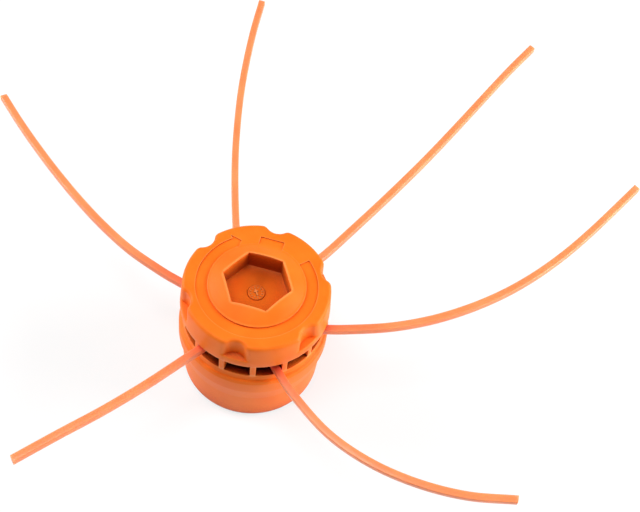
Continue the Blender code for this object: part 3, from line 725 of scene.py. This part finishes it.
# The clip, the thread and the date dial in the socket's floor are added to the cut moulding.
DIAL_TICKS = 12
DIAL_TURN = 35
DIAL_EDGE = 0.12
cap = bmesh.new()
cap.from_mesh(cap_left)
cap.from_mesh(clip_left)
helix_ridge(cap, radius=31.7, low=58.56, turns=2.0, outward=-1, start=90)
for i in range(DIAL_TICKS):
    tick = soft_bar(inner=2.7, outer=3.6, width=0.6, corner=0.2, angle=360 * i / DIAL_TICKS)
    block(cap, tick, low=66.2, high=66.66, edge=DIAL_EDGE)
pointer = ((-0.45, -2.2), (0.45, -2.2), (0.45, 0.4), (1.3, 0.4), (0.0, 2.3), (-1.3, 0.4), (-0.45, 0.4))
turned_dial = Matrix.Rotation(math.radians(DIAL_TURN), 2)
block(cap, [tuple(turned_dial @ Vector(p)) for p in pointer], low=66.2, high=66.75, edge=DIAL_EDGE)
cap_piece = finished("screw_cap", cap)
cap_piece.data.materials.append(head_plastic)
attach(cap_piece, "cap")
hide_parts("cap_knob")

# Pressure plate and nut
# The plate that the cap presses on the lines is the same orange nylon, keyed into the neck. The spindle's
# nut is zinc plated steel and sits in the hexagonal pocket. Both keep their CAD shapes.
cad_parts["pressure_plate"].data.materials.clear()
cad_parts["pressure_plate"].data.materials.append(head_plastic)
# The nut's hollows are darkened as painted shade, and its outer edges lightened as a painted highlight.
zinc, zinc_shader = finish_with_painted_light(
    "zinc_plate", pale=(0.62, 0.61, 0.56), deep=(0.50, 0.50, 0.49), painted_hollow_shade=(0.40, 0.40, 0.39),
    painted_deep_shade=(0.12, 0.12, 0.12), painted_edge_highlight=(0.70, 0.70, 0.66), rough=(0.25, 0.25), bump=0.01,
    grain_size=0.2, cloud_size=4.0, hollow_reach=9.0)
zinc_shader.inputs["Metallic"].default_value = 1.0
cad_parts["drive_nut"].data.materials.clear()
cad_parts["drive_nut"].data.materials.append(zinc)

# Floor and light
# A plain white floor between two broad softboxes, with a weaker lamp overhead and a low strip on the right,
# as in a light tent. The floor shows near white to the camera and in gloss, and keeps the head's shadow.
FLOOR_REACH = 3.0
FLOOR_DROP = 0.0003
floor_mesh = bpy.data.meshes.new("floor")
floor_corners = [(x * FLOOR_REACH, y * FLOOR_REACH, 0) for x, y in ((-1, -1), (1, -1), (1, 1), (-1, 1))]
floor_mesh.from_pydata(floor_corners, [], [(0, 1, 2, 3)])
floor = bpy.data.objects.new("floor", floor_mesh)
floor.location.z = -FLOOR_DROP
bpy.context.scene.collection.objects.link(floor)
floor_paper = bpy.data.materials.new("floor_paper")
floor_paper.use_nodes = True
paper_tree = floor_paper.node_tree
paper_nodes = paper_tree.nodes
paper_links = paper_tree.links
paper = paper_nodes["Principled BSDF"]
paper.inputs["Base Color"].default_value = (0.92, 0.92, 0.92, 1)
paper.inputs["Roughness"].default_value = 0.9
paper.inputs["Specular IOR Level"].default_value = 0.1
glow = paper_nodes.new("ShaderNodeEmission")
glow.inputs["Color"].default_value = (1, 1, 1, 1)
glow.inputs["Strength"].default_value = 1.0
# Far from the head the floor shows no shadow at all, so that it runs into the white surroundings.
floor_place = paper_nodes.new("ShaderNodeTexCoord")
away = paper_nodes.new("ShaderNodeVectorMath")
away.operation = "LENGTH"
paper_links.new(floor_place.outputs["Object"], away.inputs[0])
fading = paper_nodes.new("ShaderNodeMapRange")
fading.inputs["From Min"].default_value = 0.4
fading.inputs["From Max"].default_value = 1.3
fading.inputs["To Min"].default_value = 0.72
fading.inputs["To Max"].default_value = 1.0
paper_links.new(away.outputs["Value"], fading.inputs["Value"])


def looked_at(tree):
    """One for rays from the camera, gloss and glass, so that all three show the same white."""
    rays = tree.nodes.new("ShaderNodeLightPath").outputs
    mirrored = maths(tree, "ADD", rays["Is Glossy Ray"], rays["Is Transmission Ray"])
    return maths(tree, "ADD", rays["Is Camera Ray"], mirrored)


glow_share = maths(paper_tree, "MULTIPLY", looked_at(paper_tree), fading.outputs["Result"])
lit_paper = paper_nodes.new("ShaderNodeMixShader")
paper_links.new(glow_share, lit_paper.inputs["Fac"])
paper_links.new(paper.outputs["BSDF"], lit_paper.inputs[1])
paper_links.new(glow.outputs["Emission"], lit_paper.inputs[2])
paper_links.new(lit_paper.outputs["Shader"], paper_nodes["Material Output"].inputs["Surface"])
floor_mesh.materials.append(floor_paper)

world = bpy.data.worlds.new("studio")
bpy.context.scene.world = world
world.use_nodes = True
tent_nodes = world.node_tree.nodes
tent_links = world.node_tree.links
surroundings = tent_nodes["Background"]
surroundings.inputs["Color"].default_value = (1, 1, 1, 1)
surroundings.inputs["Strength"].default_value = 0.1
tent_white = tent_nodes.new("ShaderNodeBackground")
tent_white.inputs["Color"].default_value = (1, 1, 1, 1)
tent_white.inputs["Strength"].default_value = 1.0
tent = tent_nodes.new("ShaderNodeMixShader")
tent_links.new(looked_at(world.node_tree), tent.inputs["Fac"])
tent_links.new(surroundings.outputs["Background"], tent.inputs[1])
tent_links.new(tent_white.outputs["Background"], tent.inputs[2])
tent_links.new(tent.outputs["Shader"], tent_nodes["World Output"].inputs["Surface"])


def lamp(name, place, aim, width, height, power):
    """A soft rectangular lamp, in metres and watts."""
    light = bpy.data.lights.new(name, "AREA")
    light.shape = "RECTANGLE"
    light.size = width
    light.size_y = height
    light.energy = power
    holder = bpy.data.objects.new(name, light)
    holder.location = place
    holder.rotation_euler = (Vector(aim) - Vector(place)).to_track_quat("-Z", "Y").to_euler()
    bpy.context.scene.collection.objects.link(holder)


lamp("overhead", place=(-0.2, -0.12, 1.2), aim=(0, 0, 0.05), width=0.4, height=0.4, power=5.0)
lamp("right_softbox", place=(0.85, 0.25, 0.53), aim=(0, 0, 0.05), width=0.6, height=0.5, power=10.5)
lamp("right_strip", place=(0.85, 0.0, 0.15), aim=(0, 0, 0.04), width=0.4, height=0.2, power=2.2)
lamp("left_softbox", place=(-0.9, 0.12, 0.58), aim=(0, 0, 0.05), width=0.6, height=0.5, power=9.2)

bpy.context.scene.view_settings.view_transform = "Standard"
